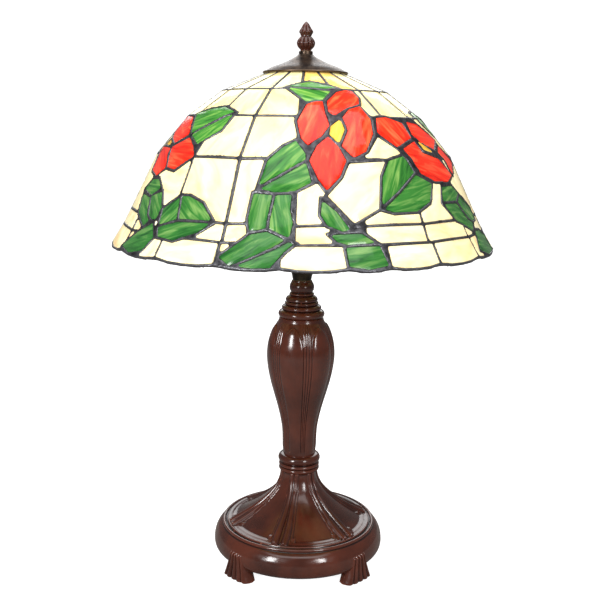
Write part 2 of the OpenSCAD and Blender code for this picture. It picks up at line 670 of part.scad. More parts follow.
ring_t = 3;
module top_ring() {
  color("#a98a45") turned([
    [opening_r - 6, z_spider + spider_t], [opening_r - 1.2, z_spider + spider_t],
    [opening_r - 1.2, z_opening + 0.6], [opening_r - 1.2 - ring_t, z_opening + 0.6],
    [opening_r - 1.2 - ring_t, z_spider + spider_t + 1.5], [opening_r - 6, z_spider + spider_t + 1.5]
  ]);
}

// Wheel with four spokes that hangs the shade on the riser
module shade_spider() {
  hub = 10;
  color("#a98a45") {
    difference() {
      union() {
        translate([0, 0, z_spider]) cylinder(r = hub, h = spider_t);
        for (k = [0 : 1]) rotate([0, 0, 45 + 90 * k])
          translate([-opening_r + 4, -3, z_spider]) cube([2 * opening_r - 8, 6, spider_t]);
        tube(opening_r - 1.5, opening_r - 7, z_spider, z_spider + spider_t);
      }
      translate([0, 0, z_spider - 1]) cylinder(r = stud_r + running, h = 10);
    }
  }
}

// Spun metal cap with a concave top and a rolled edge
module heat_cap() {
  edge = 1.3;
  t = 1.4;
  boss_r = 7.4;
  top = [
    [cap_r - 2.6, z_cap + 2.5], [cap_r - 9, z_cap + 6.4], [cap_r * 0.55, z_cap + 10.6],
    [cap_r * 0.36, z_cap + 14.6], [boss_r + 2.4, z_cap + 18.4], [boss_r, z_cap + 20.6]
  ];
  color("#3d352c") turned(concat(
    [[stud_r + slip, z_finial], [boss_r - 1, z_finial], [boss_r, z_finial - 1]],
    reversed(smooth(top, 4)),
    arc([cap_r - edge, z_cap + edge], edge, 75, -180, 10),
    [[cap_r - 2.6 - t, z_cap + 2.5]],
    smooth([for (p = top) if (p[0] > boss_r + 2) [p[0] - t * 0.6, p[1] - t]], 4),
    [[stud_r + slip, z_cap + 17.4]]
  ));
}

insert_r = stud_r + 1.1;
module finial_insert() {
  color("#c9a64a") tube(insert_r, stud_r + running, z_finial, stud_top + 2);
}

// Fluted bud on a fluted ball; the flutes are cut as shallow grooves
module finial() {
  h = finial_h;
  color("#4a1f1a") difference() {
    turned(concat(
      [[0, z_finial], [finial_r * 0.56, z_finial]],
      smooth([
        [finial_r * 0.56, z_finial + 1], [finial_r * 0.86, z_finial + h * 0.16],
        [finial_r, z_finial + h * 0.29], [finial_r * 0.84, z_finial + h * 0.42],
        [finial_r * 0.58, z_finial + h * 0.5], [finial_r * 0.6, z_finial + h * 0.57],
        [finial_r * 0.74, z_finial + h * 0.66], [finial_r * 0.58, z_finial + h * 0.73],
        [finial_r * 0.34, z_finial + h * 0.88], [finial_r * 0.08, z_finial + h * 0.99]
      ], 4),
      [[0, z_finial + h]]
    ));
    translate([0, 0, z_finial - 1]) cylinder(r = insert_r + running, h = stud_top + 3.6 - z_finial);
    for (k = [0 : 9]) at(36 * k, finial_r + 0.5, z_finial + h * 0.28) cylinder(r = 1.3, h = 9, center = true);
  }
}

base_casting();
foot_front_left();
foot_front_right();
foot_rear_left();
foot_rear_right();
felt_pads();
bottom_plate();
plate_screws();
base_weight();
cord_gland();
collar_ring();
vase_body();
neck_turning();
top_cup();
threaded_rod();
rod_washer();
rod_nut();
cluster_hub();
cluster_arm_left();
cluster_arm_right();
socket_cap_left();
socket_cap_right();
socket_shell_left();
socket_shell_right();
socket_insert_left();
socket_insert_right();
bulb_contact_left();
bulb_contact_right();
bulb_cap_left();
bulb_cap_right();
bulb_glass_left();
bulb_glass_right();
riser_tube();
shade_seat();
finial_stud();
shade_spider();
top_ring();
solder_front();
solder_rear();
cream_glass();
green_glass();
red_glass();
yellow_glass();
heat_cap();
finial_insert();
finial();
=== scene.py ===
"""Looks of a table lamp: a leaded glass dome on a cast and turned stand.

Outlines are worked out in millimetres, azimuths in degrees from the front (-Y) towards +X,
and every mesh is handed over in metres in the frame's own place.
"""

import sys

import logging
import math
import random
from dataclasses import dataclass, field
from enum import Enum
from typing import Callable, Iterable

import bmesh
import bpy
import numpy as np
from mathutils import Matrix, Vector, noise


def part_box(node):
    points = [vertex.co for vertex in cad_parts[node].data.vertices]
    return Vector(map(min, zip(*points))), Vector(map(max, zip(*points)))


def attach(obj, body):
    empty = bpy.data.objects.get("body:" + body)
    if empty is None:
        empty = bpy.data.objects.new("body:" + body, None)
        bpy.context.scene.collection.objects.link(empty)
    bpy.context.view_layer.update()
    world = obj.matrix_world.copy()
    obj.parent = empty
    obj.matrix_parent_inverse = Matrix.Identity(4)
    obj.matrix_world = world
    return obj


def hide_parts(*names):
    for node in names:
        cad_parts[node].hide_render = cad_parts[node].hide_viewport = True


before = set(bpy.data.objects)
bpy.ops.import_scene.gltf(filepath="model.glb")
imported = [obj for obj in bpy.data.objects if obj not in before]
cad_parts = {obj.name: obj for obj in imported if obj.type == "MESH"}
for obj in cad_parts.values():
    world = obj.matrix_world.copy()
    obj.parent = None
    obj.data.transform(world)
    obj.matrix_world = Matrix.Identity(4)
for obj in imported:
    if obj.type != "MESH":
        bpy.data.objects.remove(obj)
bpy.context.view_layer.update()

LOG = logging.getLogger("lamp")
MM = 0.001
Colour = tuple[float, float, float]
Point = tuple[float, float]
Relief = Callable[[float, float, float], float]


class Body(Enum):
    """The bodies that pieces ride on."""

    STAND = "stand"
    SHADE = "shade"
    FINIAL = "finial"
    BULB_LEFT = "bulb_left"
    BULB_RIGHT = "bulb_right"


class Side(Enum):
    """The two lamp holders, by the sign of their X."""

    LEFT = -1
    RIGHT = 1


# ---------------------------------------------------------------- small helpers


def linear(red: int, green: int, blue: int) -> Colour:
    """Turns a display colour of 0 to 255 into a linear one."""

    def one(value: int) -> float:
        """Decodes one channel."""
        share = value / 255
        return share / 12.92 if share <= 0.04045 else ((share + 0.055) / 1.055) ** 2.4

    return one(red), one(green), one(blue)


def ease(value: float, low: float, high: float) -> float:
    """Rises smoothly from 0 at low to 1 at high."""
    share = min(1.0, max(0.0, (value - low) / (high - low)))
    return share * share * (3 - 2 * share)


def bump(distance: float, half_width: float) -> float:
    """A round bead: 1 at its middle, 0 beyond its half width."""
    share = distance / half_width
    return math.sqrt(1 - share * share) if abs(share) < 1 else 0.0


def soft_min(a: float, b: float, blend: float) -> float:
    """The lesser of two distances, rounded where they meet."""
    share = max(0.0, min(1.0, 0.5 + (b - a) / (2 * blend)))
    return b * (1 - share) + a * share - blend * share * (1 - share)


def smooth(points: list[Point], steps: int) -> list[Point]:
    """Runs a smooth curve through the points.

    Args:
        points: what the curve goes through, as (radius, height).
        steps: how many stretches lie between two of them.

    Returns:
        The points of the curve, ends included.
    """
    out: list[Point] = []
    last = len(points) - 1
    for i in range(last):
        a, b, c, d = (Vector(points[min(max(i + k, 0), last)]) for k in (-1, 0, 1, 2))
        for k in range(steps):
            t = k / steps
            p = b + t * (c - a) / 2 + t * t * (a - 2.5 * b + 2 * c - d / 2)
            p += t**3 * (1.5 * b - 1.5 * c + (d - a) / 2)
            out.append((p.x, p.y))
    return out + [points[-1]]


def arc(centre: Point, radius: float, start: float, end: float, steps: int) -> list[Point]:
    """Lists the points of an arc about a centre, from one angle to another."""
    angles = (math.radians(start + (end - start) * k / steps) for k in range(steps + 1))
    return [(centre[0] + radius * math.cos(a), centre[1] + radius * math.sin(a)) for a in angles]


def box_mm(node: str) -> tuple[Vector, Vector]:
    """Gives a node's lowest and highest corners in millimetres."""
    low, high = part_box(node)
    return low / MM, high / MM


def nearest(azimuth: float, first: float, pitch: float) -> float:
    """Signed angle from the nearest of the azimuths first + k * pitch."""
    return (azimuth - first + pitch / 2) % pitch - pitch / 2


# ---------------------------------------------------------------- finishes


class Tree:
    """Short hand for building a node tree."""

    def __init__(self, tree: bpy.types.NodeTree) -> None:
        """Starts from an empty tree."""
        self.tree = tree
        tree.nodes.clear()

    def add(self, kind: str, settings: dict | None = None, **inputs) -> bpy.types.Node:
        """Adds a node.

        Args:
            kind: the node's type name.
            settings: properties of the node itself.
            inputs: a value or an output socket per input, blanks in names as underscores.

        Returns:
            The new node.
        """
        node = self.tree.nodes.new(kind)
        for key, value in (settings or {}).items():
            setattr(node, key, value)
        for key, value in inputs.items():
            name = key.replace("_", " ")
            socket = node.inputs[int(name[1:]) if name[1:].isdigit() else name]
            if isinstance(value, bpy.types.NodeSocket):
                self.tree.links.new(value, socket)
            else:
                socket.default_value = (*value, 1.0) if socket.type == "RGBA" else value
        return node

    def mix(self, share, first, second, blend: str = "MIX") -> bpy.types.NodeSocket:
        """Blends two colours.

        Args:
            share: how much of the second colour shows, a value or a socket.
            first: a colour or a socket.
            second: a colour or a socket.
            blend: the way the second goes over the first.

        Returns:
            The socket with the result.
        """
        settings = {"data_type": "RGBA", "blend_type": blend}
        return self.add("ShaderNodeMix", settings, _0=share, _6=first, _7=second).outputs[2]

    def ramp(self, value: bpy.types.NodeSocket, low: float, high: float, **ends) -> bpy.types.NodeSocket:
        """Stretches a value from low to high over 0 to 1, or over To_Min to To_Max."""
        node = self.add("ShaderNodeMapRange", Value=value, From_Min=low, From_Max=high, **ends)
        return node.outputs["Result"]

    def noise(self, where: bpy.types.NodeSocket, scale, **settings) -> bpy.types.NodeSocket:
        """Gives the strength of a cloudy noise."""
        return self.add("ShaderNodeTexNoise", Vector=where, Scale=scale, **settings).outputs["Fac"]

    def finish(self, kind: str, surface: bpy.types.Node) -> None:
        """Ends the tree in an output node of the given kind."""
        self.add(kind, Surface=surface.outputs[0])


def new_group(name: str, ins: dict[str, str], outs: dict[str, str]) -> tuple[Tree, object, object]:
    """Makes a shader node group.

    Args:
        name: the group's name.
        ins: socket type by input name.
        outs: socket type by output name.

    Returns:
        The tree to build in, its input node and its output node.
    """
    group = bpy.data.node_groups.new(name, "ShaderNodeTree")
    for way, sockets in (("INPUT", ins), ("OUTPUT", outs)):
        for key, kind in sockets.items():
            group.interface.new_socket(key, in_out=way, socket_type=kind)
    tree = Tree(group)
    return tree, tree.add("NodeGroupInput"), tree.add("NodeGroupOutput")


COLOUR, FLOAT, VECTOR = "NodeSocketColor", "NodeSocketFloat", "NodeSocketVector"
WHITE: Colour = (1.0, 1.0, 1.0)


def mottle_group() -> None:
    """Two colours and two roughnesses that drift into each other over a surface."""
    tree, given, out = new_group(
        "mottle",
        {"Vector": VECTOR, "Scale": FLOAT, "Dark": COLOUR, "Light": COLOUR, "Smooth": FLOAT, "Rough": FLOAT},
        {"Colour": COLOUR, "Roughness": FLOAT, "Height": FLOAT},
    )
    ins = given.outputs
    broad = tree.noise(ins["Vector"], ins["Scale"], Detail=5.0)
    colour = tree.mix(tree.ramp(broad, 0.36, 0.64), ins["Dark"], ins["Light"])
    fine_scale = tree.add("ShaderNodeMath", {"operation": "MULTIPLY"}, _0=ins["Scale"], _1=7.0)
    fine = tree.noise(ins["Vector"], fine_scale.outputs[0], Detail=3.0)
    rough = tree.ramp(fine, 0.35, 0.65, To_Min=ins["Smooth"], To_Max=ins["Rough"])
    height = tree.add("ShaderNodeMath", {"operation": "ADD"}, _0=broad, _1=fine).outputs[0]
    for name, socket in (("Colour", colour), ("Roughness", rough), ("Height", height)):
        tree.tree.links.new(socket, out.inputs[name])


def hollow_shade_and_wear_group() -> None:
    """Paints shade into concave places and rubs convex edges lighter, as wear."""
    tree, given, out = new_group(
        "painted_hollow_shade_and_edge_wear", {"Colour": COLOUR, "Hollow": COLOUR, "Edge": COLOUR}, {"Colour": COLOUR}
    )
    curve = tree.add("ShaderNodeNewGeometry").outputs["Pointiness"]
    # Painted shade: concave places take the darker hollow colour
    deep = tree.ramp(curve, 0.44, 0.5, To_Min=1.0, To_Max=0.0)
    low = tree.mix(deep, given.outputs["Colour"], given.outputs["Hollow"])
    high = tree.mix(tree.ramp(curve, 0.515, 0.6), low, given.outputs["Edge"])
    tree.tree.links.new(high, out.inputs["Colour"])


def new_material(name: str) -> tuple[bpy.types.Material, Tree]:
    """Makes an empty material and the tree to build it in."""
    made = bpy.data.materials.new(name)
    made.use_nodes = True
    return made, Tree(made.node_tree)


@dataclass(frozen=True)
class Finish:
    """A mottled finish: two colours, a range of roughness, a slight unevenness, painted shade in concave
    places and edges rubbed lighter by wear.
    """

    name: str
    dark: Colour
    light: Colour
    # Painted shade colour for concave places
    hollow: Colour
    edge: Colour
    metallic: float = 0.0
    smooth: float = 0.25
    rough: float = 0.4
    scale: float = 60.0
    depth: float = 0.05
    coat: float = 0.0
    sheen: float = 0.0

    def material(self) -> bpy.types.Material:
        """Builds the finish once and hands it back each time."""
        if self.name in bpy.data.materials:
            return bpy.data.materials[self.name]
        made, tree = new_material(self.name)
        where = tree.add("ShaderNodeTexCoord")
        mottle = tree.add(
            "ShaderNodeGroup", {"node_tree": bpy.data.node_groups["mottle"]},
            Vector=where.outputs["Object"], Scale=self.scale, Dark=self.dark, Light=self.light,
            Smooth=self.smooth, Rough=self.rough,
        )
        # Painted shade in concave places, and edges rubbed lighter by wear
        shade_and_wear = tree.add(
            "ShaderNodeGroup", {"node_tree": bpy.data.node_groups["painted_hollow_shade_and_edge_wear"]},
            Colour=mottle.outputs["Colour"], Hollow=self.hollow, Edge=self.edge,
        )
        uneven = tree.add(
            "ShaderNodeBump", Strength=0.35, Distance=self.depth * MM, Height=mottle.outputs["Height"]
        )
        tree.finish("ShaderNodeOutputMaterial", tree.add(
            "ShaderNodeBsdfPrincipled", Base_Color=shade_and_wear.outputs["Colour"], Metallic=self.metallic,
            Roughness=mottle.outputs["Roughness"], Normal=uneven.outputs["Normal"],
            Coat_Weight=self.coat, Coat_Roughness=0.12, Sheen_Weight=self.sheen,
        ))
        return made


@dataclass(frozen=True)
class StreakyGlass:
    """Rolled art glass: streaks of three tones along each pane's own grain, and a painted emission that
    makes the panes shine as if lit through.
    """

    name: str
    deep: Colour
    body: Colour
    pale: Colour
    painted_glow: float
    stretch: float = 5.0
    scale: float = 26.0

    def material(self) -> bpy.types.Material:
        """Builds the glass once and hands it back each time."""
        if self.name in bpy.data.materials:
            return bpy.data.materials[self.name]
        made, tree = new_material(self.name)
        grain = tree.add("ShaderNodeAttribute", {"attribute_name": "grain"}).outputs["Vector"]
        tint = tree.add("ShaderNodeAttribute", {"attribute_name": "tint"}).outputs["Color"]
        drawn = tree.add("ShaderNodeMapping", Vector=grain, Scale=(1.0, self.stretch, 1.0))
        streaks = tree.noise(drawn.outputs["Vector"], self.scale, Detail=4.0, Distortion=0.8)
        tones = tree.mix(tree.ramp(streaks, 0.3, 0.5), self.deep, self.body)
        tones = tree.mix(tree.ramp(streaks, 0.52, 0.72), tones, self.pale)
        colour = tree.mix(1.0, tones, tint, "MULTIPLY")
        ripple = tree.noise(grain, self.scale * 3, Detail=2.0)
        uneven = tree.add("ShaderNodeBump", Strength=0.3, Distance=0.4 * MM, Height=ripple)
        # The emission is painted light: the panes shine as if light came through them, with no bulb lit
        tree.finish("ShaderNodeOutputMaterial", tree.add(
            "ShaderNodeBsdfPrincipled", Base_Color=colour, Normal=uneven.outputs["Normal"],
            Roughness=tree.ramp(ripple, 0.0, 1.0, To_Min=0.1, To_Max=0.26),
            Emission_Color=colour, Emission_Strength=self.painted_glow,
            Specular_IOR_Level=0.3, Coat_Weight=0.1, Coat_Roughness=0.06,
        ))
        return made


# The third colour of each finish is painted shade for concave places; the fourth is the colour of its edges
# rubbed by wear
MAHOGANY = Finish(
    "mahogany resin", (0.038, 0.0090, 0.0050), (0.088, 0.0200, 0.0100), (0.006, 0.002, 0.0016),
    (0.18, 0.052, 0.030), smooth=0.13, rough=0.24, scale=22, depth=0.025, coat=0.2,
)
DARK_BRONZE = Finish(
    "mottled dark bronze", (0.020, 0.012, 0.009), (0.10, 0.065, 0.042), (0.008, 0.005, 0.004),
    (0.26, 0.17, 0.10), metallic=0.75, smooth=0.28, rough=0.5, scale=120, depth=0.14,
)
DARK_CUP = Finish(
    "blackened brass", (0.012, 0.010, 0.007), (0.045, 0.036, 0.022), (0.004, 0.003, 0.002),
    (0.16, 0.12, 0.06), metallic=0.8, smooth=0.24, rough=0.42, scale=90, depth=0.05,
)
SOLDER = Finish(
    "patinated solder", (0.022, 0.022, 0.026), (0.085, 0.085, 0.095), (0.012, 0.012, 0.014),
    (0.22, 0.22, 0.24), metallic=0.7, smooth=0.26, rough=0.5, scale=150, depth=0.18,
)
BRASS = Finish(
    "lacquered brass", (0.42, 0.26, 0.08), (0.66, 0.44, 0.16), (0.14, 0.08, 0.03),
    (0.86, 0.66, 0.34), metallic=1.0, smooth=0.2, rough=0.34, scale=80, depth=0.03,
)
STEEL = Finish(
    "zinced steel", (0.36, 0.37, 0.39), (0.56, 0.57, 0.58), (0.12, 0.12, 0.12),
    (0.76, 0.76, 0.77), metallic=1.0, smooth=0.28, rough=0.44, scale=90, depth=0.03,
)
IRON = Finish(
    "cast iron", (0.05, 0.05, 0.055), (0.11, 0.11, 0.11), (0.02, 0.02, 0.02),
    (0.2, 0.2, 0.2), metallic=0.6, smooth=0.5, rough=0.75, scale=140, depth=0.3,
)
PLATE = Finish(
    "painted steel plate", (0.018, 0.018, 0.02), (0.04, 0.04, 0.043), (0.008, 0.008, 0.009),
    (0.10, 0.10, 0.10), smooth=0.4, rough=0.6, scale=110, depth=0.06,
)
FELT = Finish(
    "pressed felt", (0.016, 0.015, 0.016), (0.045, 0.042, 0.044), (0.008, 0.008, 0.008),
    (0.07, 0.07, 0.07), smooth=0.9, rough=1.0, scale=420, depth=0.4, sheen=0.5,
)
BAKELITE = Finish(
    "moulded phenolic", (0.012, 0.010, 0.009), (0.026, 0.022, 0.02), (0.005, 0.005, 0.005),
    (0.06, 0.055, 0.05), smooth=0.26, rough=0.38, scale=100, depth=0.03, coat=0.2,
)
PORCELAIN = Finish(
    "glazed porcelain", (0.72, 0.70, 0.64), (0.82, 0.80, 0.75), (0.4, 0.37, 0.32),
    (0.9, 0.89, 0.86), smooth=0.12, rough=0.2, scale=50, depth=0.04, coat=0.5,
)
NICKEL = Finish(
    "nickelled brass", (0.5, 0.48, 0.44), (0.68, 0.66, 0.62), (0.2, 0.18, 0.15),
    (0.85, 0.84, 0.8), metallic=1.0, smooth=0.18, rough=0.32, scale=90, depth=0.03,
)
FROSTED = Finish(
    "frosted bulb glass", (0.80, 0.79, 0.74), (0.90, 0.89, 0.85), (0.6, 0.58, 0.52),
    (0.95, 0.95, 0.92), smooth=0.35, rough=0.5, scale=40, depth=0.02, coat=0.15,
)
CREAM_GLASS = StreakyGlass(
    "cream opal glass", linear(246, 214, 160), linear(252, 238, 190), linear(255, 248, 214),
    painted_glow=0.32, stretch=2.5,
)
GREEN_GLASS = StreakyGlass(
    "green streaky glass", linear(24, 78, 30), linear(58, 126, 48), linear(128, 172, 86),
    painted_glow=0.24, stretch=7,
)
RED_GLASS = StreakyGlass(
    "red streaky glass", linear(196, 22, 10), linear(240, 48, 24), linear(252, 100, 64),
    painted_glow=0.26, stretch=6,
)
YELLOW_GLASS = StreakyGlass(
    "amber streaky glass", linear(204, 146, 34), linear(228, 180, 62), linear(244, 208, 112), painted_glow=0.2,
)


# ---------------------------------------------------------------- pieces


def finish_piece(
    bm: bmesh.types.BMesh, name: str, body: Body, nodes: Iterable[str], finish: Finish | StreakyGlass,
    sharp: float,
) -> bpy.types.Object:
    """Turns a bmesh in metres into a piece of the lamp.

    Args:
        bm: the shape; it is freed.
        name: the piece's name.
        body: what it rides on.
        nodes: the frame's nodes that it stands for.
        finish: what its surface is like.
        sharp: the angle in degrees past which an edge stays sharp.

    Returns:
        The new object.
    """
    for face in bm.faces:
        face.smooth = True
    for edge in bm.edges:
        edge.smooth = len(edge.link_faces) == 2 and edge.calc_face_angle(0.0) < math.radians(sharp)
    mesh = bpy.data.meshes.new(name)
    bm.to_mesh(mesh)
    bm.free()
    piece = bpy.data.objects.new(name, mesh)
    bpy.context.scene.collection.objects.link(piece)
    mesh.materials.append(finish.material())
    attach(piece, body.value)
    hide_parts(*nodes)
    LOG.info("%s: %d faces on %s for %s", name, len(mesh.polygons), body.value, ", ".join(nodes))
    return piece


def copy_of(*nodes: str) -> bmesh.types.BMesh:
    """Copies nodes of the frame into one bmesh with their loose triangles joined up."""
    bm = bmesh.new()
    for node in nodes:
        bm.from_mesh(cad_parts[node].data)
    bmesh.ops.remove_doubles(bm, verts=bm.verts, dist=0.002 * MM)
    return bm


def spun(
    outline: list[Point], steps: int, relief: Relief | None = None, skin: int = 0,
) -> bmesh.types.BMesh:
    """Spins an outline round the lamp's axis and works a relief into it.

    Args:
        outline: (radius, height) points in millimetres, off the axis, up the outside and down
            the inside.
        steps: how many facets lie round the axis.
        relief: height of the relief by azimuth, radius and height.
        skin: how many of the outline's first points carry the relief; 0 means all.

    Returns:
        The closed shape in metres.
    """
    bm = bmesh.new()
    out_r, out_z = (bm.verts.layers.float.new(key) for key in ("out_r", "out_z"))
    verts = []
    for i, (r, z) in enumerate(outline):
        vert = bm.verts.new((0.0, -r, z))
        before, after = outline[i - 1], outline[(i + 1) % len(outline)]
        along = Vector((after[0] - before[0], after[1] - before[1]))
        if along.length > 1e-9 and (not skin or i < skin):
            along.normalize()
            vert[out_r], vert[out_z] = along.y, -along.x
        verts.append(vert)
    edges = [bm.edges.new(pair) for pair in zip(verts, verts[1:] + verts[:1])]
    bmesh.ops.spin(
        bm, geom=verts + edges, cent=(0, 0, 0), axis=(0, 0, 1), angle=2 * math.pi, steps=steps,
        use_merge=True,
    )
    bmesh.ops.remove_doubles(bm, verts=bm.verts, dist=0.001)
    bmesh.ops.recalc_face_normals(bm, faces=bm.faces)
    if relief:
        for vert in bm.verts:
            if vert[out_r] or vert[out_z]:
                r = math.hypot(vert.co.x, vert.co.y)
                rise = relief(math.degrees(math.atan2(vert.co.x, -vert.co.y)), r, vert.co.z)
                across = vert[out_r] / r
                vert.co += Vector((vert.co.x * across, vert.co.y * across, vert[out_z])) * rise
    bmesh.ops.scale(bm, vec=(MM, MM, MM), verts=bm.verts)
    return bm


def remeshed(bm: bmesh.types.BMesh, voxel: float, rounds: int) -> bmesh.types.BMesh:
    """Gives a shape an even skin and softens it, as a casting or a run of solder is soft.

    Args:
        bm: the shape in metres; it is freed.
        voxel: the size of the new faces in millimetres.
        rounds: how often the skin is smoothed.

    Returns:
        The new skin.
    """
    mesh = bpy.data.meshes.new("rough")
    bm.to_mesh(mesh)
    bm.free()
    rough = bpy.data.objects.new("rough", mesh)
    bpy.context.scene.collection.objects.link(rough)
    cut = rough.modifiers.new("even", "REMESH")
    cut.mode = "VOXEL"
    cut.voxel_size = voxel * MM
    graph = bpy.context.evaluated_depsgraph_get()
    out = bmesh.new()
    out.from_object(rough, graph)
    bpy.data.objects.remove(rough)
    for _ in range(rounds):
        bmesh.ops.smooth_vert(
            out, verts=out.verts, factor=0.5, use_axis_x=True, use_axis_y=True, use_axis_z=True
        )
    return out


@dataclass
class Stand:
    """The cast base, its feet, the collar, the lobed vase and the beads above it."""

    base_r: float = 96.5
    rib_first: float = -15.0
    panels: int = 6
    stripe_first: float = 12.5
    stripe_half: float = 7.5
    gutter: float = 1.2
    floor_gap: float = 13.0
    flare_z: float = 45.4
    flare_steps: int = 66
    throat_r: float = 20.0
    throat_z: float = 104.0
    vase_z: float = 124.0
    neck_z: float = 282.0
    cup_z: float = 324.0
    bore_r: float = 5.4
    steps_round: int = 720
    flutes: int = 5
    vase_outline: list[Point] = field(default_factory=lambda: [
        (18.2, 124.0), (18.4, 127.0), (18.6, 134.0), (19.2, 151.8), (21.4, 166.0), (24.8, 180.4),
        (28.9, 194.6), (32.8, 208.7), (35.8, 222.7), (37.4, 236.0), (37.2, 247.0), (35.6, 257.0),
        (32.2, 267.8), (28.5, 274.7), (25.6, 279.0), (24.8, 282.0),
    ])

    def wooden(self, bm: bmesh.types.BMesh, name: str, node: str, sharp: float) -> bpy.types.Object:
        """Finishes a piece in the mahogany of the stand."""
        return finish_piece(bm, name, Body.STAND, [node], MAHOGANY, sharp)

    def base_relief(self, azimuth: float, r: float, z: float) -> float:
        """Ribs of two beads, sunk panels with a beaded border, and a curl in each lower corner."""
        if z < 41.5 or r > 80:
            return 0.0
        spread = ease(r, 24, 74)
        turn = math.radians(nearest(azimuth, self.rib_first, 360 / self.panels))
        side = abs(r * math.sin(turn))
        rib = 2.5 + 2.6 * spread
        wide = 2.1 + 1.7 * spread
        flank = rib + wide + 0.3
        rise = (1.3 + 1.2 * spread) * bump(side - rib, wide)
        inside = soft_min(side - flank, 76.5 - r, 8.0)
        border = 0.8 + 0.35 * spread
        rise += (0.7 + 0.5 * spread) * bump(inside - border - 0.5, border) * ease(r, 24, 28)
        rise -= (0.8 + 1.0 * spread) * ease(inside, 0.2, 1.0)
        rise -= 0.4 * ease(rib - side, 0.2, wide)
        curl = math.hypot(side - flank - 4.5, r - 70.5)
        rise += 1.5 * bump(curl, 2.1) - 0.6 * bump(curl, 0.8)
        return rise

    def base(self) -> None:
        """The round plinth and the flare with its six panels, hollow inside."""
        r, low, gap = self.base_r, self.flare_z, self.floor_gap
        side = [(r - 8.5, gap)] + smooth([
            (r - 5.0, 13.7), (r - 1.6, 16.2), (r, 20.5), (r - 0.2, 27.0), (r - 1.7, 33.0), (r - 4.6, 38.0),
            (r - 7.6, 40.6),
        ], 5)
        side += [(r - 9.2, 41.0), (r - 9.7, 41.6)] + arc((r - 10.9, 43.1), 1.9, -40, 110, 9)
        side += [(r - 12.6, 43.7), (r - 13.6, 43.2), (r - 14.8, 44.2)]
        side += arc((r - 16.0, 44.2), 1.4, 10, 120, 6)
        foot_r = r - 18.6
        flare = []
        for k in range(self.flare_steps + 1):
            u = k / self.flare_steps
            flare.append((
                self.throat_r + (foot_r - self.throat_r) * (1 - u) ** 2.0, low + (self.throat_z - low) * u
            ))
        outer = side + flare
        lining = [(max(p[0] - 4.2, 6.0), p[1] - 3.8) for p in reversed(flare[::6])]
        inner = [(self.bore_r, self.throat_z), (self.bore_r, self.throat_z - 4.4)] + lining
        inner += [(r - 8.5, 32.0), (r - 4.5, 21.0), (r - 12.0, gap)]
        bm = spun(outer + inner, self.steps_round, self.base_relief, len(outer))
        self.bore(self.wooden(bm, "panelled_base", "base_casting", 50))

    def bore(self, piece: bpy.types.Object) -> None:
        """Cuts the hole for the mains lead's bush through the rear of the plinth."""
        low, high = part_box("cord_gland")
        middle = (low + high) / 2
        bm = bmesh.new()
        bmesh.ops.create_cone(
            bm, cap_ends=True, segments=64, radius1=6.0 * MM, radius2=6.0 * MM, depth=40 * MM,
            matrix=Matrix.Translation(middle) @ Matrix.Rotation(math.pi / 2, 4, "X"),
        )
        mesh = bpy.data.meshes.new("drill")
        bm.to_mesh(mesh)
        bm.free()
        drill = bpy.data.objects.new("drill", mesh)
        bpy.context.scene.collection.objects.link(drill)
        cut = piece.modifiers.new("hole", "BOOLEAN")
        cut.operation, cut.solver, cut.object = "DIFFERENCE", "MANIFOLD", drill
        graph = bpy.context.evaluated_depsgraph_get()
        bored = bpy.data.meshes.new_from_object(piece.evaluated_get(graph))
        piece.modifiers.clear()
        piece.data = bored
        bpy.data.objects.remove(drill)

    def vase_relief(self, azimuth: float, r: float, z: float) -> float:
        """Six broad lobes with arched tops, and three reeds in each gutter between them."""
        away = abs(nearest(azimuth, self.stripe_first, 360 / self.panels))
        full = 180 / self.panels - self.stripe_half
        top = max(0.0, min(1.0, (z - 250.0) / 25.0))
        half = full * math.sqrt(max(0.0, 1 - top * top))
        edge = 180 / self.panels - half
        fade = ease(z, 124.0, 134.0) * (1 - ease(z, 274.0, 281.0))
        if away < edge or half < 0.5:
            pitch = self.stripe_half * 2 / 3
            reed = math.sqrt(abs(math.cos(math.pi * away / pitch))) if away < self.stripe_half else 0.0
            return (reed * 0.7 - self.gutter) * fade * (1 - 0.5 * top)
        across = min(1.0, (away - edge) / half)
        lobe = math.sqrt(max(0.0, 1 - (1 - across) ** 2.6))
        return (lobe * 2.0 - self.gutter) * fade

    def vase(self) -> None:
        """The lobed vase, hollow inside."""
        outer = smooth(self.vase_outline, 9)
        wall = 4.5
        lid = [(self.bore_r, self.neck_z), (self.bore_r, self.neck_z - 12)]
        inner = [(r - wall, z) for r, z in reversed(self.vase_outline[:-3])]
        bm = spun(outer + lid + inner + [(13.7, self.vase_z)], 432, self.vase_relief, len(outer))
        self.wooden(bm, "lobed_vase", "vase_body", 60)

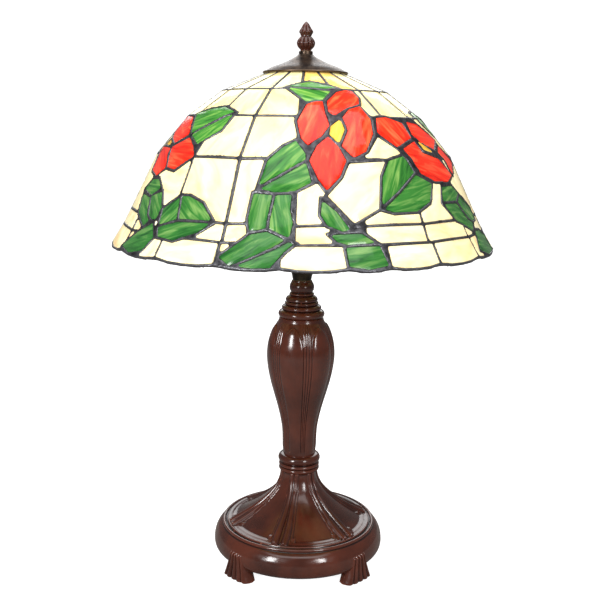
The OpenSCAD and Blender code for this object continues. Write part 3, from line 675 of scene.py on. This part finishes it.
    def foot(self, name: str) -> None:
        """One splayed foot: a shell of rounded flutes that spreads down to the table."""
        low, high = box_mm(f"foot_{name}")
        azimuth = math.degrees(math.atan2(low.x + high.x, -(low.y + high.y)))
        bm = bmesh.new()
        bmesh.ops.create_grid(bm, x_segments=96, y_segments=28, size=1.0)
        bottom, top, out = low.z, high.z - 0.4, self.base_r + 1.6
        for vert in bm.verts:
            across, down = vert.co.x, (1 - vert.co.y) / 2
            half = 10.2 + 9.8 * down**1.3
            flute = abs(math.cos(math.pi * across * self.flutes / 2)) ** 0.6
            round_off = math.sqrt(max(0.0, 1 - abs(across) ** 5))
            lid = math.sqrt(max(0.0, 1 - max(0.0, 1 - down * 7) ** 2))
            toe = math.sqrt(max(0.0, 1 - max(0.0, down * 12 - 11) ** 2))
            proud = 4.0 + (out - self.base_r + 1.6) * down**1.7 + 3.6 * flute
            r = self.base_r - 7.5 + proud * round_off * lid
            r += 1.8 * toe * round_off
            dip = 1.6 * (1 - flute) * max(0.0, 1 - down * 5)
            vert.co = Vector((across * half, -r, top + (bottom - top) * down - dip))
        rim = [e for e in bm.edges if e.is_boundary]
        grown = bmesh.ops.extrude_edge_only(bm, edges=rim)["geom"]
        back = [v for v in grown if isinstance(v, bmesh.types.BMVert)]
        for vert in back:
            vert.co = Vector((vert.co.x * 0.9, -(self.base_r - 13.0), max(vert.co.z, bottom)))
        bmesh.ops.contextual_create(bm, geom=[e for e in bm.edges if e.is_boundary])
        bmesh.ops.recalc_face_normals(bm, faces=bm.faces)
        bmesh.ops.rotate(bm, verts=bm.verts, matrix=Matrix.Rotation(math.radians(azimuth), 3, "Z"))
        bmesh.ops.scale(bm, vec=(MM, MM, MM), verts=bm.verts)
        self.wooden(bm, f"fluted_foot_{name}", f"foot_{name}", 70)

    def feet(self) -> None:
        """The four feet, one under each quarter of the plinth."""
        for name in ("front_left", "front_right", "rear_left", "rear_right"):
            self.foot(name)

    def turnings(self) -> None:
        """The beads of the collar, and the dark cup above them."""
        low = self.throat_z
        outer = [(self.throat_r + 0.4, low)] + arc((20.6, low + 2.7), 2.5, -75, 72, 9)
        outer += arc((20.9, low + 7.4), 2.2, -70, 68, 8) + arc((18.9, low + 14.6), 5.0, -64, 76, 14)
        bm = spun(outer + [(18.2, self.vase_z), (self.bore_r, self.vase_z), (self.bore_r, low)], 160)
        self.wooden(bm, "collar_beads", "collar_ring", 38)
        finish_piece(
            copy_of("top_cup"), "flared_cup", Body.STAND, ["top_cup"], DARK_CUP, 32
        )

    def neck(self) -> None:
        """Beads that narrow upwards: a torus, two rings, a cone, a thin ring and a ball."""
        outer = [(22.8, self.neck_z)] + arc((21.6, 286.6), 4.2, -70, 62, 12) + [(22.4, 290.9)]
        outer += arc((19.6, 293.6), 2.5, -55, 75, 8) + [(19.2, 296.5)]
        outer += arc((16.9, 298.6), 1.9, -60, 60, 7)
        outer += smooth([(16.9, 300.8), (17.9, 302.2), (17.2, 304.6), (15.2, 306.6), (12.9, 307.4)], 4)
        outer += arc((12.6, 308.9), 1.3, -70, 80, 6) + [(11.9, 310.6)]
        outer += smooth([
            (11.9, 310.9), (13.3, 313.6), (13.7, 316.8), (13.0, 320.0), (11.7, 322.4), (11.4, 323.6),
        ], 5)
        outer += [(10.8, self.cup_z), (self.bore_r, self.cup_z), (self.bore_r, self.neck_z)]
        self.wooden(spun(outer, 160), "neck_beads", "neck_turning", 38)

    def build(self) -> None:
        """Makes every piece of the stand that has a skin of its own."""
        self.base()
        self.neck()
        self.feet()
        self.turnings()
        self.vase()


@dataclass
class Shade:
    """The leaded dome: flat panes cut from sheet, and the solder that holds them."""

    flatten: float = 0.62
    half_glass: float = 1.5
    amber_azimuth: float = 17.5
    meridian: list[Point] = field(default_factory=lambda: [
        (40.0, 545.0), (86.3, 526.0), (122.4, 499.4), (154.7, 460.5), (182.7, 402.6), (191.2, 386.0),
        (203.0, 367.0),
    ])
    rng: random.Random = field(default_factory=lambda: random.Random(11))

    def off_dome(self, co: Vector) -> tuple[float, float]:
        """Finds where a point lies against the dome.

        Args:
            co: the point in metres.

        Returns:
            How far it lies outside the middle of the glass in millimetres, and its course.
        """
        p = Vector((math.hypot(co.x, co.y) / MM, co.z / MM))
        best = (1e9, 0.0, 0.0)
        for i, (a, b) in enumerate(zip(self.meridian, self.meridian[1:])):
            start, along = Vector(a), Vector(b) - Vector(a)
            t = max(0.0, min(1.0, (p - start).dot(along) / along.length_squared))
            gap = p - start - along * t
            out = gap.dot(Vector((-along.y, along.x)).normalized())
            if gap.length < best[0]:
                best = (gap.length, out, i + t)
        return best[1], best[2]

    def panes(self, node: str, name: str, finish: StreakyGlass) -> None:
        """Cuts the panes of one glass: flatter than the dome, with eased edges and their own grain.

        Args:
            node: the frame's node with these panes.
            name: the piece's name.
            finish: their glass.
        """
        bm = copy_of(node)
        bmesh.ops.dissolve_limit(
            bm, angle_limit=math.radians(0.6), use_dissolve_boundaries=False, verts=bm.verts,
            edges=bm.edges,
        )
        bmesh.ops.triangulate(bm, faces=bm.faces)
        grain = bm.verts.layers.float_vector.new("grain")
        tint = bm.verts.layers.float_color.new("tint")
        for island in self.islands(bm):
            points = np.array([v.co for v in island])
            centre = points.mean(0)
            _, _, axes = np.linalg.svd(points - centre, full_matrices=False)
            normal = Vector(axes[2])
            if normal.dot(Vector((centre[0], centre[1], 0.05))) < 0:
                normal.negate()
            turn = Matrix.Rotation(self.rng.uniform(-0.25, 0.25), 3, normal)
            along, across = turn @ Vector(axes[0]), turn @ Vector(axes[1])
            seed = self.rng.uniform(0, 40)
            # The tint carries each pane's own tone and, on coloured panes, a painted light that brightens
            # them towards the top
            colour = self.pane_tint(name, Vector(centre))
            middle = Vector(centre)
            for vert in island:
                level = (vert.co - middle).dot(normal)
                wanted = math.copysign(self.half_glass, self.off_dome(vert.co)[0]) * MM
                vert[grain] = ((vert.co - middle).dot(along), (vert.co - middle).dot(across), seed)
                vert[tint] = (*colour, 1.0)
                vert.co += normal * (wanted - level) * self.flatten
        edges = [e for e in bm.edges if e.calc_face_angle(0.0) > math.radians(45)]
        bmesh.ops.bevel(
            bm, geom=edges, offset=0.45 * MM, segments=2, profile=0.5, affect="EDGES", material=-1,
            clamp_overlap=True,
        )
        finish_piece(bm, name, Body.SHADE, [node], finish, 40)

    def islands(self, bm: bmesh.types.BMesh) -> list[list[bmesh.types.BMVert]]:
        """Lists the vertices of each pane, the panes in order of their middles."""
        seen = set()
        found = []
        for first in bm.verts:
            if first in seen:
                continue
            seen.add(first)
            todo, island = [first], []
            while todo:
                vert = todo.pop()
                island.append(vert)
                for edge in vert.link_edges:
                    other = edge.other_vert(vert)
                    if other not in seen:
                        seen.add(other)
                        todo.append(other)
            found.append(island)

        def place(verts: list[bmesh.types.BMVert]) -> tuple[float, ...]:
            """The pane's middle, rounded, to sort by."""
            return tuple(round(c, 5) for c in sum((v.co for v in verts), Vector()) / len(verts))

        return sorted(found, key=place)

    def pane_tint(self, name: str, centre: Vector) -> Colour:
        """Picks the tint of one pane: coloured panes brighter towards the top, a painted light; cream warmer
        towards the top, rosier towards the rim.
        """
        height = ease(centre.z / MM, 380, 540)
        drift = self.rng.uniform(0.93, 1.0)
        if name != "cream_panes":
            # Painted light: coloured panes brighten towards the top
            painted_top_light = 1 + 0.5 * (height - 0.4)
            return drift * painted_top_light, drift * painted_top_light, drift
        azimuth = math.degrees(math.atan2(centre.x, -centre.y))
        if height > 0.9 and abs(nearest(azimuth, self.amber_azimuth, 180)) < 12:
            return 1.0, 0.74, 0.30
        rosy = (1 - height) * self.rng.uniform(0.0, 0.10)
        return 1.0, 1.0 - 0.35 * rosy, drift * (1.0 - 0.2 * height**1.5 - rosy)

    def solder(self) -> None:
        """Runs of solder between the panes, rounded and a little lumpy."""
        bm = copy_of("solder_front", "solder_rear")
        # The halves meet in faces that lie on each other and would split the new skin
        pairs: dict[tuple, list] = {}
        for face in bm.faces:
            pairs.setdefault(tuple(sorted(v.index for v in face.verts)), []).append(face)
        twins = [f for faces in pairs.values() if len(faces) > 1 for f in faces]
        bmesh.ops.delete(bm, geom=twins, context="FACES")
        bm = remeshed(bm, 1.45, 2)
        for vert in bm.verts:
            vert.co += vert.normal * noise.noise(vert.co * 260) * 0.22 * MM
        finish_piece(
            bm, "solder_lattice", Body.SHADE, ["solder_front", "solder_rear"], SOLDER, 180
        )

    def build(self) -> None:
        """Makes the panes and the solder."""
        self.panes("cream_glass", "cream_panes", CREAM_GLASS)
        self.panes("green_glass", "green_panes", GREEN_GLASS)
        self.panes("red_glass", "red_panes", RED_GLASS)
        self.panes("yellow_glass", "yellow_panes", YELLOW_GLASS)
        self.solder()
        finish_piece(
            copy_of("heat_cap"), "rolled_cap", Body.SHADE, ["heat_cap"], DARK_BRONZE, 32
        )


@dataclass
class Finial:
    """A fluted bud on a fluted ball."""

    low: float = 569.9
    flutes: int = 10
    petals: int = 7
    bore_r: float = 4.35
    bore_top: float = 591.5
    tip_r: float = 0.02

    def relief(self, azimuth: float, r: float, z: float) -> float:
        """Gadroons round the ball, drawn to points below, and petals round the bud."""
        up = z - self.low
        ball = ease(up, 0.8, 4.0) * (1 - ease(up, 11.5, 15.5))
        bud = ease(up, 15.5, 18.0) * (1 - ease(up, 23.5, 27.5))
        gadroon = abs(math.cos(math.radians(azimuth * self.flutes / 2))) ** 0.5
        petal = abs(math.cos(math.radians(azimuth * self.petals / 2 + up * 4))) ** 0.6
        return (gadroon - 1) * 1.5 * ball + (petal - 1) * 1.3 * bud

    def build(self) -> None:
        """Makes the finial, with the bore for its threaded insert."""
        h = self.low
        profile = smooth([
            (5.4, h + 0.6), (6.6, h + 1.8), (8.9, h + 4.2), (10.0, h + 7.6), (9.2, h + 10.6),
            (7.2, h + 13.2), (5.6, h + 14.9), (6.2, h + 16.6), (7.5, h + 18.8), (7.0, h + 20.8),
            (5.7, h + 22.6), (4.6, h + 24.4), (3.4, h + 26.6), (1.6, h + 28.8), (0.0, h + 29.9),
        ], 6)
        # The tip stays a hair off the axis, so that the spun outline is a ring
        outer = [(5.6, h)] + profile[:-1] + [(self.tip_r, h + 29.9)]
        bore = [(self.tip_r, self.bore_top), (self.bore_r, self.bore_top), (self.bore_r, h)]
        bm = spun(outer + bore, 180, self.relief, len(outer))
        finish_piece(bm, "fluted_finial", Body.FINIAL, ["finial"], MAHOGANY, 70)


@dataclass
class Bulb:
    """A frosted bulb with its screw cap."""

    side: Side

    def build(self) -> None:
        """Makes the envelope and the cap."""
        name = self.side.name.lower()
        body = Body.BULB_LEFT if self.side is Side.LEFT else Body.BULB_RIGHT
        for part, piece, finish, slot, sharp in (
            ("bulb_glass", "bulb_envelope", FROSTED, "frosted_glass", 50),
            ("bulb_cap", "bulb_screw", NICKEL, "nickel", 32),
        ):
            node = f"{part}_{name}"
            finish_piece(copy_of(node), f"{piece}_{name}", body, [node], finish, sharp)


PLAIN_NODES: dict[Finish, tuple[str, ...]] = {
    FELT: ("felt_pads",),
    PLATE: ("bottom_plate",),
    STEEL: ("plate_screws", "rod_washer", "rod_nut"),
    IRON: ("base_weight",),
    BAKELITE: ("cord_gland", "socket_shell_left", "socket_shell_right"),
    DARK_CUP: ("cluster_hub",),
    PORCELAIN: ("socket_insert_left", "socket_insert_right"),
    NICKEL: ("bulb_contact_left", "bulb_contact_right"),
    BRASS: (
        "threaded_rod", "cluster_arm_left", "cluster_arm_right", "socket_cap_left", "socket_cap_right",
        "riser_tube", "shade_seat", "finial_stud", "shade_spider", "top_ring", "finial_insert",
    ),
}


def dress_frame() -> None:
    """Gives each node that still shows its finish."""
    for finish, nodes in PLAIN_NODES.items():
        for node in nodes:
            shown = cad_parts[node]
            shown.data.materials.clear()
            shown.data.materials.append(finish.material())
            LOG.info("%s keeps its shape, in %s", node, finish.name)


# ---------------------------------------------------------------- studio


@dataclass
class Studio:
    """A white floor in a white room, soft light, and the camera."""

    lens: float = 54.88
    distance: float = 1.0
    height: float = 0.492
    pitch_down: float = 10.79
    roll: float = 0.94
    aside: float = -0.0019

    def floor(self) -> None:
        """Lays a wide floor that looks white but throws little light back."""
        bm = bmesh.new()
        bmesh.ops.create_grid(bm, x_segments=1, y_segments=1, size=6.0)
        mesh = bpy.data.meshes.new("studio_floor")
        bm.to_mesh(mesh)
        bm.free()
        floor = bpy.data.objects.new("studio_floor", mesh)
        bpy.context.scene.collection.objects.link(floor)
        paper, tree = new_material("studio paper")
        seen = tree.add(
            "ShaderNodeBsdfPrincipled", Base_Color=(0.5, 0.5, 0.5), Roughness=0.9,
            Emission_Color=WHITE, Emission_Strength=0.95,
        )
        around = tree.add("ShaderNodeBsdfDiffuse", Color=(0.30, 0.29, 0.28))
        tree.finish("ShaderNodeOutputMaterial", self.to_camera(tree, around, seen))
        mesh.materials.append(paper)

    def to_camera(self, tree: Tree, around: bpy.types.Node, seen: bpy.types.Node) -> bpy.types.Node:
        """Shows one shader to the camera and the other to all other rays."""
        rays = tree.add("ShaderNodeLightPath")
        return tree.add(
            "ShaderNodeMixShader", _0=rays.outputs["Is Camera Ray"], _1=around.outputs[0],
            _2=seen.outputs[0],
        )

    def lamp(self, name: str, at: tuple, size: tuple[float, float], power: float) -> None:
        """Hangs one softbox that faces the middle of the lamp.

        Args:
            name: the light's name.
            at: where it hangs.
            size: its width and height in metres.
            power: its power in watts.
        """
        light = bpy.data.lights.new(name, "AREA")
        light.shape = "RECTANGLE"
        light.size, light.size_y = size
        light.energy = power
        holder = bpy.data.objects.new(name, light)
        holder.location = at
        aim = Vector((0, 0, 0.3)) - Vector(at)
        holder.rotation_euler = aim.to_track_quat("-Z", "Y").to_euler()
        bpy.context.scene.collection.objects.link(holder)

    def build(self) -> None:
        """Sets up the floor, the lights, the air and the camera."""
        self.floor()
        self.lamp("softbox_left", (-1.1, -1.5, 0.95), (0.35, 0.8), 28)
        self.lamp("softbox_right", (1.0, -1.55, 0.95), (0.3, 0.7), 15)
        self.lamp("softbox_top", (0.0, -0.6, 2.4), (2.4, 2.4), 46)
        self.lamp("softbox_rear", (0.0, 2.2, 1.6), (2.0, 1.6), 26)
        world = bpy.data.worlds.new("pale room")
        world.use_nodes = True
        tree = Tree(world.node_tree)
        room = tree.add("ShaderNodeBackground", Color=WHITE, Strength=0.2)
        paper = tree.add("ShaderNodeBackground", Color=WHITE, Strength=1.1)
        tree.finish("ShaderNodeOutputWorld", self.to_camera(tree, room, paper))
        bpy.context.scene.world = world
        camera = bpy.data.cameras.new("camera")
        camera.lens = self.lens
        holder = bpy.data.objects.new("camera", camera)
        bpy.context.scene.collection.objects.link(holder)
        holder.matrix_world = (
            Matrix.Translation((self.aside, -self.distance, self.height))
            @ Matrix.Rotation(math.radians(90 - self.pitch_down), 4, "X")
            @ Matrix.Rotation(math.radians(self.roll), 4, "Z")
        )
        bpy.context.scene.camera = holder
        bpy.context.scene.view_settings.view_transform = "Standard"


def main() -> None:
    """Builds the lamp piece by piece."""
    logging.basicConfig(level=logging.INFO, format="%(name)s: %(message)s", stream=sys.stdout)
    mottle_group()
    hollow_shade_and_wear_group()
    dress_frame()
    Stand().build()
    Shade().build()
    Finial().build()
    for side in Side:
        Bulb(side).build()
    Studio().build()
    bpy.context.view_layer.update()


if __name__ == "__main__":
    main()
